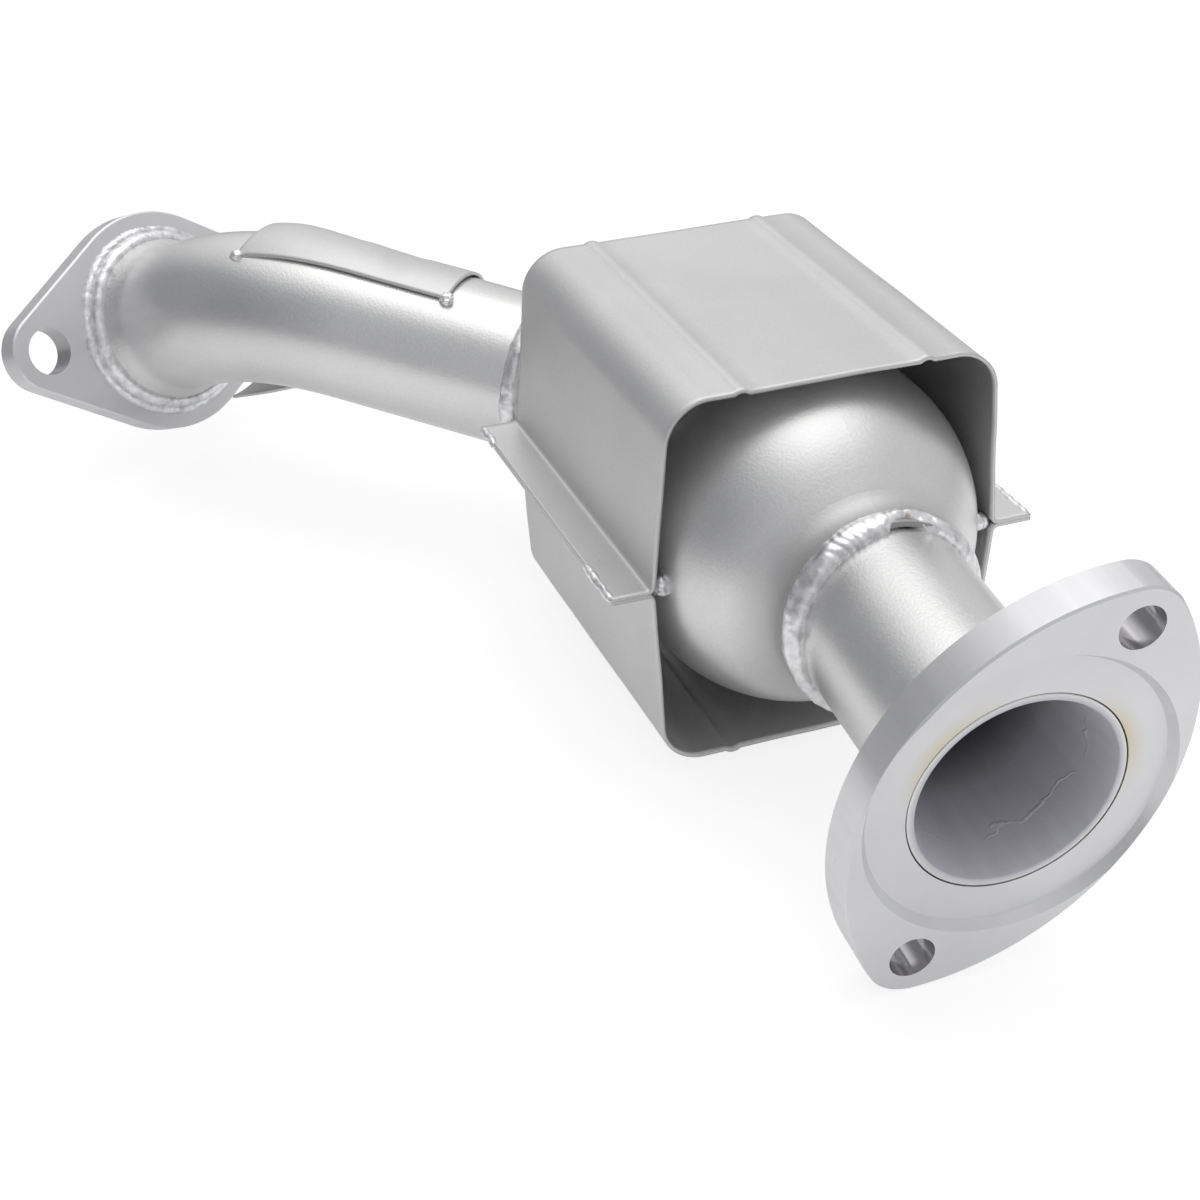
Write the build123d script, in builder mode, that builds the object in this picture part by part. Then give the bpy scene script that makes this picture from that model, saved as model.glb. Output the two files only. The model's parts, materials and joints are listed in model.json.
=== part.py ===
"""Direct-fit catalytic converter with a boxed sheet heat shield.

Millimetres. The origin is the centre of the outlet flange's mating face.
X runs along the converter body towards the outlet and Z points up.
"""
import os
from math import cos, degrees, pi, radians, sin, sqrt, tan

from build123d import *

os.makedirs("parts", exist_ok=True)

# Converter axis, measured from the centre of the outlet flange's face
axis_y = 2.8
axis_z = 6.2

# Outlet pipe
outlet_reach = 77.0
outlet_pipe_r = 25.4
outlet_pipe_wall = 2.0
outlet_insert = 5.0
outlet_bell_r = 28.75
outlet_bell_depth = 8.0
bell_taper = 2.2

# Outlet flange
outlet_flange_thickness = 12.0
outlet_flange_half_length = 61.5
outlet_flange_half_width = 41.0
outlet_ear_r = 13.0
outlet_bolt_spacing = 101.0
outlet_bolt_angle = 62.0
outlet_hole_r = 6.1
recess_depth = 2.5
recess_face_r = 41.25
recess_floor_r = 39.4
flange_clearance = 0.3
edge_break = 0.6
outlet_weld_leg = 1.6

# Converter shell
shell_r = 50.8
shell_wall = 1.5
front_stub = 3.8
rear_stub = 9.55
front_cone_angle = 46.0
rear_cone_angle = 45.0
neck_clearance = 0.65
neck_blend_r = 9.0
inlet_neck_r = 26.2

# Inlet pipe: mitre point at the neck, corner of the bend, flange centre
inlet_joint = Vector(-262.2, -23.7, -2.0)
inlet_corner = Vector(-318.2, -104.4, 17.6)
inlet_end = Vector(-369.3, -131.5, -6.2)
inlet_bend_r = 82.0
inlet_pipe_r = 25.4
inlet_pipe_wall = 1.8
inlet_bell_r = 28.9
inlet_bell_length = 2.5
inlet_bell_taper = 10.0
pipe_set_back = 1.5
mitre_overrun = 20.0

# Inlet flange
inlet_flange_thickness = 9.0
inlet_flange_middle_r = 38.5
inlet_ear_r = 13.7
inlet_bolt_spacing = 96.0
inlet_bolt_angle = 174.8
inlet_hole_r = 8.0
inlet_weld_leg = 5.0

# Pipe heat shield
pipe_shield_gap = 0.8
pipe_shield_sheet = 1.0
pipe_shield_start = 52.0
pipe_shield_finish = 125.3
pipe_shield_wrap = 216.0
pipe_shield_edge = -56.0
pipe_shield_flare = 6.2

# Boxed heat shield, upper and lower half
shield_set_back = 33.6
shield_length = 111.2
shield_sheet = 1.0
shield_side_gap = 0.3
shield_top_gap = 2.8
shield_bottom_gap = 6.1
shield_split_drop = 0.9
shield_draft = 4.0
shield_corner_r = 13.0
shield_lip = 11.5
shield_rib_y = 26.9
shield_rib_r = 4.0
shield_rib_rise = 0.8
lip_bend_r = 1.2

# Substrates, mats and seals inside the shell
mat_thickness = 4.3
substrate_margin = 1.0
substrate_gap = 7.0
cell_pitch = 8.0
cell_opening = 6.6
cell_skin = 2.0
seal_length = 3.0

# Weld beads
neck_bead_r = 3.2
outlet_bead_r = 3.6
outlet_bead_lean = 3.9
outlet_bead_swing = 3.4
outlet_bead_set_back = 0.6
shield_weld_r = 1.5
front_weld_length = 22.0
rear_weld_length = 13.0
tack_r = 3.0
tack_sink = 0.5
pipe_tack_r = 3.0


def lens(half_length, half_width, ear_r):
    """Radius of the long arcs of a two-bolt outline with rounded ears."""
    reach = half_length - ear_r
    return (reach**2 + half_width**2 - ear_r**2) / (2 * (half_width - ear_r))


def two_bolt_outline(half_length, half_width, ear_r):
    """Wire of a lens-shaped flange: two long arcs joined by two ear arcs."""
    reach = half_length - ear_r
    big = lens(half_length, half_width, ear_r)
    drop = big - half_width
    scale = big / (big - ear_r)
    tx = reach * scale
    ty = -drop + drop * scale
    ThreePointArc((-tx, ty), (0, half_width), (tx, ty))
    ThreePointArc((tx, ty), (half_length, 0), (tx, -ty))
    ThreePointArc((tx, -ty), (0, -half_width), (-tx, -ty))
    ThreePointArc((-tx, -ty), (-half_length, 0), (-tx, ty))


def diamond_outline(middle_r, ear_r, spacing):
    """Wire of a round flange with two ears joined to it by straight tangents."""
    reach = spacing / 2
    fall = (middle_r - ear_r) / reach
    rise = sqrt(1 - fall**2)
    ear_x = reach + ear_r * fall
    ear_y = ear_r * rise
    mid_x = middle_r * fall
    mid_y = middle_r * rise
    ThreePointArc((ear_x, -ear_y), (reach + ear_r, 0), (ear_x, ear_y))
    Line((ear_x, ear_y), (mid_x, mid_y))
    ThreePointArc((mid_x, mid_y), (0, middle_r), (-mid_x, mid_y))
    Line((-mid_x, mid_y), (-ear_x, ear_y))
    ThreePointArc((-ear_x, ear_y), (-reach - ear_r, 0), (-ear_x, -ear_y))
    Line((-ear_x, -ear_y), (-mid_x, -mid_y))
    ThreePointArc((-mid_x, -mid_y), (0, -middle_r), (mid_x, -mid_y))
    Line((mid_x, -mid_y), (ear_x, -ear_y))


def tilted(centre, normal, turn):
    """Plane square to a direction, its x axis turned up from the horizontal."""
    level = Vector(-normal.Y, normal.X, 0).normalized()
    rise = normal.cross(level)
    along = level * cos(radians(turn)) + rise * sin(radians(turn))
    return Plane(origin=centre, x_dir=along, z_dir=normal)


# Directions and stations shared by the pieces
neck_end = Vector(-outlet_reach, axis_y, axis_z)
outlet_dir = (Vector(0, 0, 0) - neck_end).normalized()
outlet_length = neck_end.length
outlet_face = tilted(Vector(0, 0, 0), outlet_dir, outlet_bolt_angle)
body_front_x = -(outlet_reach + front_stub + shell_r)
rear_offset_y = inlet_joint.Y - axis_y
rear_offset_z = inlet_joint.Z - axis_z
rear_span = shell_r + rear_stub
body_rear_x = inlet_joint.X + sqrt(rear_span**2 - rear_offset_y**2 - rear_offset_z**2)
body_length = body_front_x - body_rear_x
substrate_length = (body_length - substrate_gap) / 2 - substrate_margin
front_centre = Vector(body_front_x, axis_y, axis_z)
rear_centre = Vector(body_rear_x, axis_y, axis_z)
rear_dir = (inlet_joint - rear_centre).normalized()
inlet_dir = (inlet_corner - inlet_joint).normalized()
mitre = Plane(origin=inlet_joint, z_dir=(rear_dir + inlet_dir).normalized())
end_dir = (inlet_corner - inlet_end).normalized()
inlet_face = tilted(inlet_end, end_dir, inlet_bolt_angle)
bend_axis = end_dir.cross(inlet_dir * -1).normalized()
bend_angle = radians(end_dir.get_angle(inlet_dir * -1))
bend_tangent = inlet_bend_r * tan(bend_angle / 2)
first_run = (inlet_corner - inlet_end).length - bend_tangent
last_run = (inlet_corner - inlet_joint).length - bend_tangent
inlet_length = first_run + inlet_bend_r * bend_angle + last_run
neck_r = outlet_pipe_r + neck_clearance + shell_wall
bell_bore = outlet_bell_r + flange_clearance
pipe_bore = outlet_pipe_r + flange_clearance
bell_end = outlet_bell_depth + flange_clearance
shield_split_z = axis_z - shield_split_drop
shield_half = shell_r + shield_side_gap + shield_sheet
shield_rise = shell_r + shield_top_gap + shield_sheet + shield_split_drop
shield_fall = shell_r + shield_bottom_gap + shield_sheet - shield_split_drop
shield_front_x = -(outlet_reach + shield_set_back)
shield_rear_x = shield_front_x - shield_length
lip_edge = shield_half + shield_lip
substrate_r = shell_r - shell_wall - mat_thickness


def inward(face):
    """Plane through a face's axis: x outwards, y into the piece."""
    return Plane(origin=face.origin, x_dir=face.x_dir, z_dir=face.y_dir)


def station(distance):
    """Plane square to the inlet pipe at a distance from its flange."""
    turn = min(max((distance - first_run) / inlet_bend_r, 0), bend_angle)
    run = min(distance, first_run)
    centre = inlet_end + end_dir * run
    side = end_dir.cross(bend_axis) * -1
    centre += end_dir * inlet_bend_r * sin(turn)
    centre += side * inlet_bend_r * (1 - cos(turn))
    past = max(distance - first_run - inlet_bend_r * bend_angle, 0)
    centre += inlet_dir * -1 * past
    spin = Axis((0, 0, 0), bend_axis)
    x_dir = inlet_face.x_dir.rotate(spin, degrees(turn))
    z_dir = end_dir.rotate(spin, degrees(turn))
    return Plane(origin=centre, x_dir=x_dir, z_dir=z_dir)




# Outlet flange: thick lens-shaped plate with a turned recess
with BuildPart() as outlet_flange:
    with BuildSketch(outlet_face):
        with BuildLine():
            two_bolt_outline(
                outlet_flange_half_length,
                outlet_flange_half_width,
                outlet_ear_r,
            )
        make_face()
        with Locations(
            (outlet_bolt_spacing / 2, 0), (-outlet_bolt_spacing / 2, 0)
        ):
            Circle(outlet_hole_r, mode=Mode.SUBTRACT)
    extrude(amount=-outlet_flange_thickness)
    broad = outlet_flange.faces().sort_by(SortBy.AREA)[-2:]
    rims = [edge for face in broad for edge in face.outer_wire().edges()]
    chamfer(rims, edge_break)
    with BuildSketch(inward(outlet_face)):
        with BuildLine():
            Polyline(
                (0, -1),
                (recess_face_r + (recess_face_r - recess_floor_r) / recess_depth, -1),
                (recess_floor_r, recess_depth),
                (bell_bore, recess_depth),
                (bell_bore, bell_end),
                (pipe_bore, bell_end + bell_taper),
                (pipe_bore, outlet_flange_thickness + 1),
                (0, outlet_flange_thickness + 1),
                close=True,
            )
        make_face()
    revolve(
        axis=Axis(outlet_face.origin, outlet_face.z_dir), mode=Mode.SUBTRACT
    )
outlet_flange.part.label = "outlet_flange"
export_step(outlet_flange.part, "parts/outlet_flange.step")

# Outlet pipe: its end is expanded into the flange's counterbore
with BuildPart() as outlet_pipe:
    with BuildSketch(inward(outlet_face)):
        with BuildLine():
            Polyline(
                (outlet_bell_r - outlet_pipe_wall, recess_depth),
                (outlet_bell_r, recess_depth),
                (outlet_bell_r, outlet_bell_depth),
                (outlet_pipe_r, outlet_bell_depth + bell_taper),
                (outlet_pipe_r, outlet_length + outlet_insert),
                (outlet_pipe_r - outlet_pipe_wall, outlet_length + outlet_insert),
                (outlet_pipe_r - outlet_pipe_wall, outlet_bell_depth + bell_taper),
                (outlet_bell_r - outlet_pipe_wall, outlet_bell_depth),
                close=True,
            )
        make_face()
    revolve(axis=Axis(outlet_face.origin, outlet_face.z_dir))
outlet_pipe.part.label = "outlet_pipe"
export_step(outlet_pipe.part, "parts/outlet_pipe.step")

# Fine fillet weld behind the outlet flange
with BuildPart() as outlet_flange_weld:
    with BuildSketch(inward(outlet_face)):
        with BuildLine():
            corner = (outlet_pipe_r, outlet_flange_thickness)
            on_face = (outlet_pipe_r + outlet_weld_leg, outlet_flange_thickness)
            on_pipe = (outlet_pipe_r, outlet_flange_thickness + outlet_weld_leg)
            crown = (
                outlet_pipe_r + 0.62 * outlet_weld_leg,
                outlet_flange_thickness + 0.62 * outlet_weld_leg,
            )
            Line(corner, on_face)
            ThreePointArc(on_face, crown, on_pipe)
            Line(on_pipe, corner)
        make_face()
    revolve(axis=Axis(outlet_face.origin, outlet_face.z_dir))
outlet_flange_weld.part.label = "outlet_flange_weld"
export_step(outlet_flange_weld.part, "parts/outlet_flange_weld.step")


def body_form(inset):
    """Solid of the shell's outside, or of its inside when inset by the wall."""
    r = shell_r - inset
    front_neck = neck_r - inset
    rear_neck = inlet_neck_r - inset
    past = 10 if inset else 0
    beta = radians(front_cone_angle)
    gamma = radians(rear_cone_angle)
    axis_plane = Plane(
        origin=(0, axis_y, axis_z), x_dir=(1, 0, 0), z_dir=(0, -1, 0)
    )
    foot = body_front_x + r * sin(beta) + (r * cos(beta) - front_neck) / tan(beta)
    tip = (r * cos(gamma) - rear_neck) / tan(gamma) + r * sin(gamma)
    rear_end = (inlet_joint - rear_centre).length + mitre_overrun + past
    with BuildPart() as form:
        with BuildSketch(axis_plane):
            with BuildLine():
                Line((body_rear_x - r, 0), (-outlet_reach + past, 0))
                Line((-outlet_reach + past, 0), (-outlet_reach + past, front_neck))
                slope = FilletPolyline(
                    (-outlet_reach + past, front_neck),
                    (foot, front_neck),
                    (body_front_x + r * sin(beta), r * cos(beta)),
                    radius=neck_blend_r + inset,
                )
                ThreePointArc(
                    (body_front_x + r * sin(beta), r * cos(beta)),
                    (body_front_x + r * sin(beta / 2), r * cos(beta / 2)),
                    (body_front_x, r),
                )
                Line((body_front_x, r), (body_rear_x, r))
                ThreePointArc(
                    (body_rear_x, r),
                    (body_rear_x - r * sin(pi / 4), r * cos(pi / 4)),
                    (body_rear_x - r, 0),
                )
            make_face()
        revolve(axis=Axis((0, axis_y, axis_z), (1, 0, 0)))
        oblique = Plane(
            origin=rear_centre, x_dir=rear_dir, z_dir=rear_dir.cross(Vector(0, 0, 1))
        )
        with BuildSketch(oblique):
            with BuildLine():
                Line((0, 0), (rear_end, 0))
                Line((rear_end, 0), (rear_end, rear_neck))
                FilletPolyline(
                    (rear_end, rear_neck),
                    (tip, rear_neck),
                    (r * sin(gamma), r * cos(gamma)),
                    radius=neck_blend_r + inset,
                )
                ThreePointArc(
                    (r * sin(gamma), r * cos(gamma)),
                    (r * sin(gamma / 2), r * cos(gamma / 2)),
                    (0, r),
                )
                Line((0, r), (0, 0))
            make_face()
        revolve(axis=Axis(rear_centre, rear_dir))
        with BuildSketch(mitre):
            Circle(1.5 * inlet_neck_r)
        extrude(amount=3 * mitre_overrun, mode=Mode.SUBTRACT)
    return form.part


shell_outside = body_form(0)
shell_inside = body_form(shell_wall)

# Converter shell: one spun piece, domed ends, the rear neck set obliquely
with BuildPart() as converter_shell:
    add(shell_outside)
    add(shell_inside, mode=Mode.SUBTRACT)
converter_shell.part.label = "converter_shell"
export_step(converter_shell.part, "parts/converter_shell.step")


def brick(start):
    """Square-cell substrate block that begins at a station along the axis."""
    limit = substrate_r - cell_skin - cell_opening / sqrt(2)
    steps = int(limit / cell_pitch)
    ticks = [step * cell_pitch for step in range(-steps, steps + 1)]
    cells = [(y, z) for y in ticks for z in ticks if sqrt(y * y + z * z) < limit]
    with BuildPart() as block:
        with BuildSketch(
            Plane(origin=(start, axis_y, axis_z), x_dir=(0, 1, 0), z_dir=(1, 0, 0))
        ):
            Circle(substrate_r)
            with Locations(*cells):
                Rectangle(cell_opening, cell_opening, mode=Mode.SUBTRACT)
        extrude(amount=substrate_length)
    return block


def sleeve(start, length):
    """Ring between a substrate and the shell's wall."""
    with BuildPart() as ring:
        with BuildSketch(
            Plane(origin=(start, axis_y, axis_z), x_dir=(0, 1, 0), z_dir=(1, 0, 0))
        ):
            Circle(substrate_r + mat_thickness)
            Circle(substrate_r, mode=Mode.SUBTRACT)
        extrude(amount=length)
    return ring


body_middle_x = (body_front_x + body_rear_x) / 2
front_brick_x = body_middle_x + substrate_gap / 2
rear_brick_x = body_middle_x - substrate_gap / 2 - substrate_length
mat_length = substrate_length - 2 * seal_length

# Honeycomb substrates
substrate_front = brick(front_brick_x)
substrate_front.part.label = "substrate_front"
export_step(substrate_front.part, "parts/substrate_front.step")
substrate_rear = brick(rear_brick_x)
substrate_rear.part.label = "substrate_rear"
export_step(substrate_rear.part, "parts/substrate_rear.step")

# Fibre mats round the substrates
mat_front = sleeve(front_brick_x + seal_length, mat_length)
mat_front.part.label = "mat_front"
export_step(mat_front.part, "parts/mat_front.step")
mat_rear = sleeve(rear_brick_x + seal_length, mat_length)
mat_rear.part.label = "mat_rear"
export_step(mat_rear.part, "parts/mat_rear.step")

# Knitted wire seals at both ends of each mat
with BuildPart() as seals_front:
    add(sleeve(front_brick_x, seal_length).part)
    add(sleeve(front_brick_x + substrate_length - seal_length, seal_length).part)
seals_front.part.label = "seals_front"
export_step(seals_front.part, "parts/seals_front.step")
with BuildPart() as seals_rear:
    add(sleeve(rear_brick_x, seal_length).part)
    add(sleeve(rear_brick_x + substrate_length - seal_length, seal_length).part)
seals_rear.part.label = "seals_rear"
export_step(seals_rear.part, "parts/seals_rear.step")

# Hand-run weld bead round the outlet pipe at the front neck, a little oblique
with BuildPart() as outlet_neck_weld:
    bead_axis = Axis(
        neck_end - outlet_dir * outlet_bead_set_back,
        Vector(1, tan(radians(outlet_bead_swing)), tan(radians(outlet_bead_lean))),
    )
    with BuildSketch(
        Plane(
            origin=bead_axis.position,
            x_dir=bead_axis.direction,
            z_dir=bead_axis.direction.cross(Vector(0, 0, 1)),
        )
    ):
        with Locations((0, (neck_r + outlet_pipe_r) / 2)):
            Circle(outlet_bead_r)
    revolve(axis=bead_axis)
    add(shell_outside, mode=Mode.SUBTRACT)
    with BuildSketch(Plane(origin=(0, 0, 0), z_dir=outlet_dir)):
        Circle(outlet_pipe_r)
    extrude(amount=-1.2 * outlet_length, mode=Mode.SUBTRACT)
outlet_neck_weld.part.label = "outlet_neck_weld"
export_step(outlet_neck_weld.part, "parts/outlet_neck_weld.step")


def inlet_form(bore):
    """Solid of the inlet pipe's outside, or of its inside when a bore is cut."""
    wall = inlet_pipe_wall if bore else 0
    past = 5 if bore else 0
    bell_tip = pipe_set_back - inlet_flange_thickness - past
    taper_end = inlet_bell_length + inlet_bell_taper
    profile = Plane(
        origin=inlet_end, x_dir=end_dir, z_dir=end_dir.cross(inlet_face.x_dir)
    )
    with BuildPart() as form:
        with BuildSketch(profile):
            with BuildLine():
                Line((bell_tip, 0), (bell_tip, inlet_bell_r - wall))
                Line(
                    (bell_tip, inlet_bell_r - wall),
                    (inlet_bell_length, inlet_bell_r - wall),
                )
                Spline(
                    (inlet_bell_length, inlet_bell_r - wall),
                    (taper_end, inlet_pipe_r - wall),
                    tangents=((1, 0), (1, 0)),
                )
                Line((taper_end, inlet_pipe_r - wall), (taper_end, 0))
                Line((taper_end, 0), (bell_tip, 0))
            make_face()
        revolve(axis=Axis(inlet_end, end_dir))
        with BuildLine():
            FilletPolyline(
                inlet_end + end_dir * taper_end,
                inlet_corner,
                inlet_joint - inlet_dir * mitre_overrun,
                radius=inlet_bend_r,
            )
        with BuildSketch(Plane(origin=inlet_end + end_dir * taper_end, z_dir=end_dir)):
            Circle(inlet_pipe_r - wall)
        sweep()
        if not bore:
            with BuildSketch(mitre):
                Circle(1.5 * inlet_pipe_r)
            extrude(amount=-3 * mitre_overrun, mode=Mode.SUBTRACT)
    return form.part


inlet_outside = inlet_form(False)

# Inlet pipe: belled end, one bend, mitred against the oblique neck
with BuildPart() as inlet_pipe:
    add(inlet_outside)
    add(inlet_form(True), mode=Mode.SUBTRACT)
inlet_pipe.part.label = "inlet_pipe"
export_step(inlet_pipe.part, "parts/inlet_pipe.step")

# Weld bead round the mitre of neck and inlet pipe
with BuildPart() as inlet_neck_weld:
    lean = radians(rear_dir.get_angle(mitre.z_dir))
    steep = (rear_dir - mitre.z_dir * rear_dir.dot(mitre.z_dir)).normalized()
    with BuildLine(Plane(origin=inlet_joint, x_dir=steep, z_dir=mitre.z_dir)):
        ring = EllipticalCenterArc(
            (0, 0), inlet_neck_r / cos(lean), inlet_neck_r, 0, arc_size=360
        )
    with BuildSketch(Plane(origin=ring @ 0, z_dir=ring % 0)):
        Circle(neck_bead_r)
    sweep()
    add(shell_outside, mode=Mode.SUBTRACT)
    add(inlet_outside, mode=Mode.SUBTRACT)
inlet_neck_weld.part.label = "inlet_neck_weld"
export_step(inlet_neck_weld.part, "parts/inlet_neck_weld.step")

# Inlet flange: thinner plate with straight-sided ears, welded to the pipe's end
with BuildPart() as inlet_flange:
    with BuildSketch(inlet_face):
        with BuildLine():
            diamond_outline(
                inlet_flange_middle_r,
                inlet_ear_r,
                inlet_bolt_spacing,
            )
        make_face()
        Circle(inlet_bell_r + flange_clearance, mode=Mode.SUBTRACT)
        with Locations(
            (inlet_bolt_spacing / 2, 0), (-inlet_bolt_spacing / 2, 0)
        ):
            Circle(inlet_hole_r, mode=Mode.SUBTRACT)
    extrude(amount=-inlet_flange_thickness)
    broad = inlet_flange.faces().sort_by(SortBy.AREA)[-2:]
    rims = [edge for face in broad for edge in face.outer_wire().edges()]
    chamfer(rims, edge_break)
inlet_flange.part.label = "inlet_flange"
export_step(inlet_flange.part, "parts/inlet_flange.step")

# Broad fillet weld between the inlet flange's front and the pipe's bell
with BuildPart() as inlet_flange_weld:
    profile = Plane(
        origin=inlet_end, x_dir=end_dir, z_dir=end_dir.cross(inlet_face.x_dir)
    )
    seat = inlet_bell_r - inlet_pipe_wall
    with BuildSketch(profile):
        with BuildLine():
            foot = (0, inlet_bell_r + inlet_weld_leg)
            crown = (0.7 * inlet_weld_leg, inlet_bell_r + 0.62 * inlet_weld_leg)
            toe = (1.05 * inlet_weld_leg, inlet_bell_r - 0.3)
            Line((0, seat), foot)
            ThreePointArc(foot, crown, toe)
            Line(toe, (1.05 * inlet_weld_leg, seat))
            Line((1.05 * inlet_weld_leg, seat), (0, seat))
        make_face()
    revolve(axis=Axis(inlet_end, end_dir))
    add(inlet_outside, mode=Mode.SUBTRACT)
inlet_flange_weld.part.label = "inlet_flange_weld"
export_step(inlet_flange_weld.part, "parts/inlet_flange_weld.step")


def leaning(distance, lean_x, lean_y):
    """Plane across the inlet pipe, leaning about its own x and y directions."""
    square = station(distance)
    x_dir = square.x_dir * cos(radians(lean_y)) - square.z_dir * sin(radians(lean_y))
    y_dir = square.y_dir * cos(radians(lean_x)) - square.z_dir * sin(radians(lean_x))
    return Plane(origin=square.origin, x_dir=x_dir, z_dir=x_dir.cross(y_dir))


# Half-round heat shield along the back of the inlet pipe, flared at its lower end
pipe_shield_first = pipe_shield_edge - pipe_shield_wrap
shield_sections = [
    (leaning(pipe_shield_start, 27, 0), 1.0, 0),
    (leaning(pipe_shield_start + 10, 18, 0), 0.72, 8),
    (leaning(pipe_shield_start + 22, 9, 1), 0.32, 18),
    (leaning(pipe_shield_start + 45, 1, 3), 0, 24),
    (leaning(pipe_shield_finish, 0, 8), 0, 24),
]
with BuildPart() as pipe_shield:
    for plane, share, trim in shield_sections:
        flare = pipe_shield_flare * share
        inner = inlet_pipe_r + pipe_shield_gap + flare
        outer = inner + pipe_shield_sheet
        shift = (-0.36 * flare, 0.45 * flare)
        with BuildSketch(plane):
            with BuildLine():
                first = pipe_shield_first + trim
                sweep_angle = pipe_shield_wrap - trim
                arc_in = CenterArc(shift, inner, first, sweep_angle)
                arc_out = CenterArc(shift, outer, first, sweep_angle)
                Line(arc_in @ 0, arc_out @ 0)
                Line(arc_in @ 1, arc_out @ 1)
            make_face()
    loft()
pipe_shield.part.label = "pipe_shield"
export_step(pipe_shield.part, "parts/pipe_shield.step")

# Tack welds along the two long edges of the pipe's heat shield
with BuildPart() as pipe_shield_tacks:
    tack_reach = inlet_pipe_r + pipe_shield_gap
    spots = []
    for plane, angle in (
        (shield_sections[0][0], pipe_shield_edge),
        (shield_sections[-1][0], pipe_shield_edge),
        (shield_sections[-2][0], pipe_shield_first + shield_sections[-2][2]),
        (shield_sections[-1][0], pipe_shield_first + shield_sections[-1][2]),
    ):
        place = (tack_reach * cos(radians(angle)), tack_reach * sin(radians(angle)))
        spots.append(plane.from_local_coords(Vector(*place)))
    with Locations(*spots):
        Sphere(pipe_tack_r)
    add(inlet_outside, mode=Mode.SUBTRACT)
    add(pipe_shield.part, mode=Mode.SUBTRACT)
pipe_shield_tacks.part.label = "pipe_shield_tacks"
export_step(pipe_shield_tacks.part, "parts/pipe_shield_tacks.step")


def shield_side(height, end_x, facing):
    """One pressed half of the boxed shield, lips down on the split plane."""
    lean = tan(radians(shield_draft))
    top = shield_half - height * lean
    step = shield_half - shield_sheet * lean
    base = Plane(
        origin=(end_x, axis_y, shield_split_z), x_dir=(0, 1, 0), z_dir=(facing, 0, 0)
    )
    rib_level = height - shield_rib_r + shield_rib_rise
    with BuildPart() as pressed:
        with BuildSketch(base):
            with BuildLine():
                Polyline(
                    (-lip_edge, 0),
                    (-lip_edge, shield_sheet),
                    (-step, shield_sheet),
                    (-top, height),
                    (top, height),
                    (step, shield_sheet),
                    (lip_edge, shield_sheet),
                    (lip_edge, 0),
                    close=True,
                )
            make_face()
            rows = vertices().group_by(Axis.Y)
            fillet(rows[-1], shield_corner_r)
            bends = vertices().filter_by(lambda v: abs(abs(v.X) - step) < 0.01)
            fillet(bends, lip_bend_r)
            with Locations((-shield_rib_y, rib_level), (shield_rib_y, rib_level)):
                Circle(shield_rib_r)
        extrude(amount=shield_length)
        with BuildSketch(base):
            with BuildLine():
                Polyline(
                    (-shield_half + shield_sheet, -1),
                    (-shield_half + shield_sheet, 0),
                    (-top + shield_sheet, height - shield_sheet),
                    (top - shield_sheet, height - shield_sheet),
                    (shield_half - shield_sheet, 0),
                    (shield_half - shield_sheet, -1),
                    close=True,
                )
            make_face()
            rows = vertices().group_by(Axis.Y)
            fillet(rows[-1], shield_corner_r - shield_sheet)
            with Locations((-shield_rib_y, rib_level), (shield_rib_y, rib_level)):
                Circle(shield_rib_r - shield_sheet)
        extrude(amount=shield_length, mode=Mode.SUBTRACT)
    return pressed


# Boxed heat shield: upper and lower half
shield_upper = shield_side(shield_rise, shield_rear_x, 1)
shield_upper.part.label = "shield_upper"
export_step(shield_upper.part, "parts/shield_upper.step")
shield_lower = shield_side(shield_fall, shield_front_x, -1)
shield_lower.part.label = "shield_lower"
export_step(shield_lower.part, "parts/shield_lower.step")

# Welds along the lips' outer edges, a long and a short one on each side
with BuildPart() as shield_edge_welds:
    for side in (-1, 1):
        edge_y = axis_y + side * lip_edge
        for start_x, length in (
            (shield_front_x, front_weld_length),
            (shield_rear_x + rear_weld_length, rear_weld_length),
        ):
            with BuildSketch(
                Plane(
                    origin=(start_x, edge_y, shield_split_z),
                    x_dir=(0, 1, 0),
                    z_dir=(-1, 0, 0),
                )
            ):
                Circle(shield_weld_r)
            extrude(amount=length)
    add(shield_upper.part, mode=Mode.SUBTRACT)
    add(shield_lower.part, mode=Mode.SUBTRACT)
shield_edge_welds.part.label = "shield_edge_welds"
export_step(shield_edge_welds.part, "parts/shield_edge_welds.step")

# Tack welds that hold the boxed shield to the shell
with BuildPart() as shield_tacks:
    tack_y = shield_half - shield_sheet - tack_r + tack_sink
    with Locations(
        (shield_front_x - tack_r, axis_y - tack_y, shield_split_z),
        (shield_front_x - tack_r, axis_y + tack_y, shield_split_z),
        (shield_rear_x + tack_r, axis_y - tack_y, shield_split_z),
        (shield_rear_x + tack_r, axis_y + tack_y, shield_split_z),
    ):
        Sphere(tack_r)
    add(shell_outside, mode=Mode.SUBTRACT)
    add(shield_upper.part, mode=Mode.SUBTRACT)
    add(shield_lower.part, mode=Mode.SUBTRACT)
shield_tacks.part.label = "shield_tacks"
export_step(shield_tacks.part, "parts/shield_tacks.step")
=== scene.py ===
"""Catalytic converter: rough welds, wavy heat shields and satin metal over the solids."""

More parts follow.
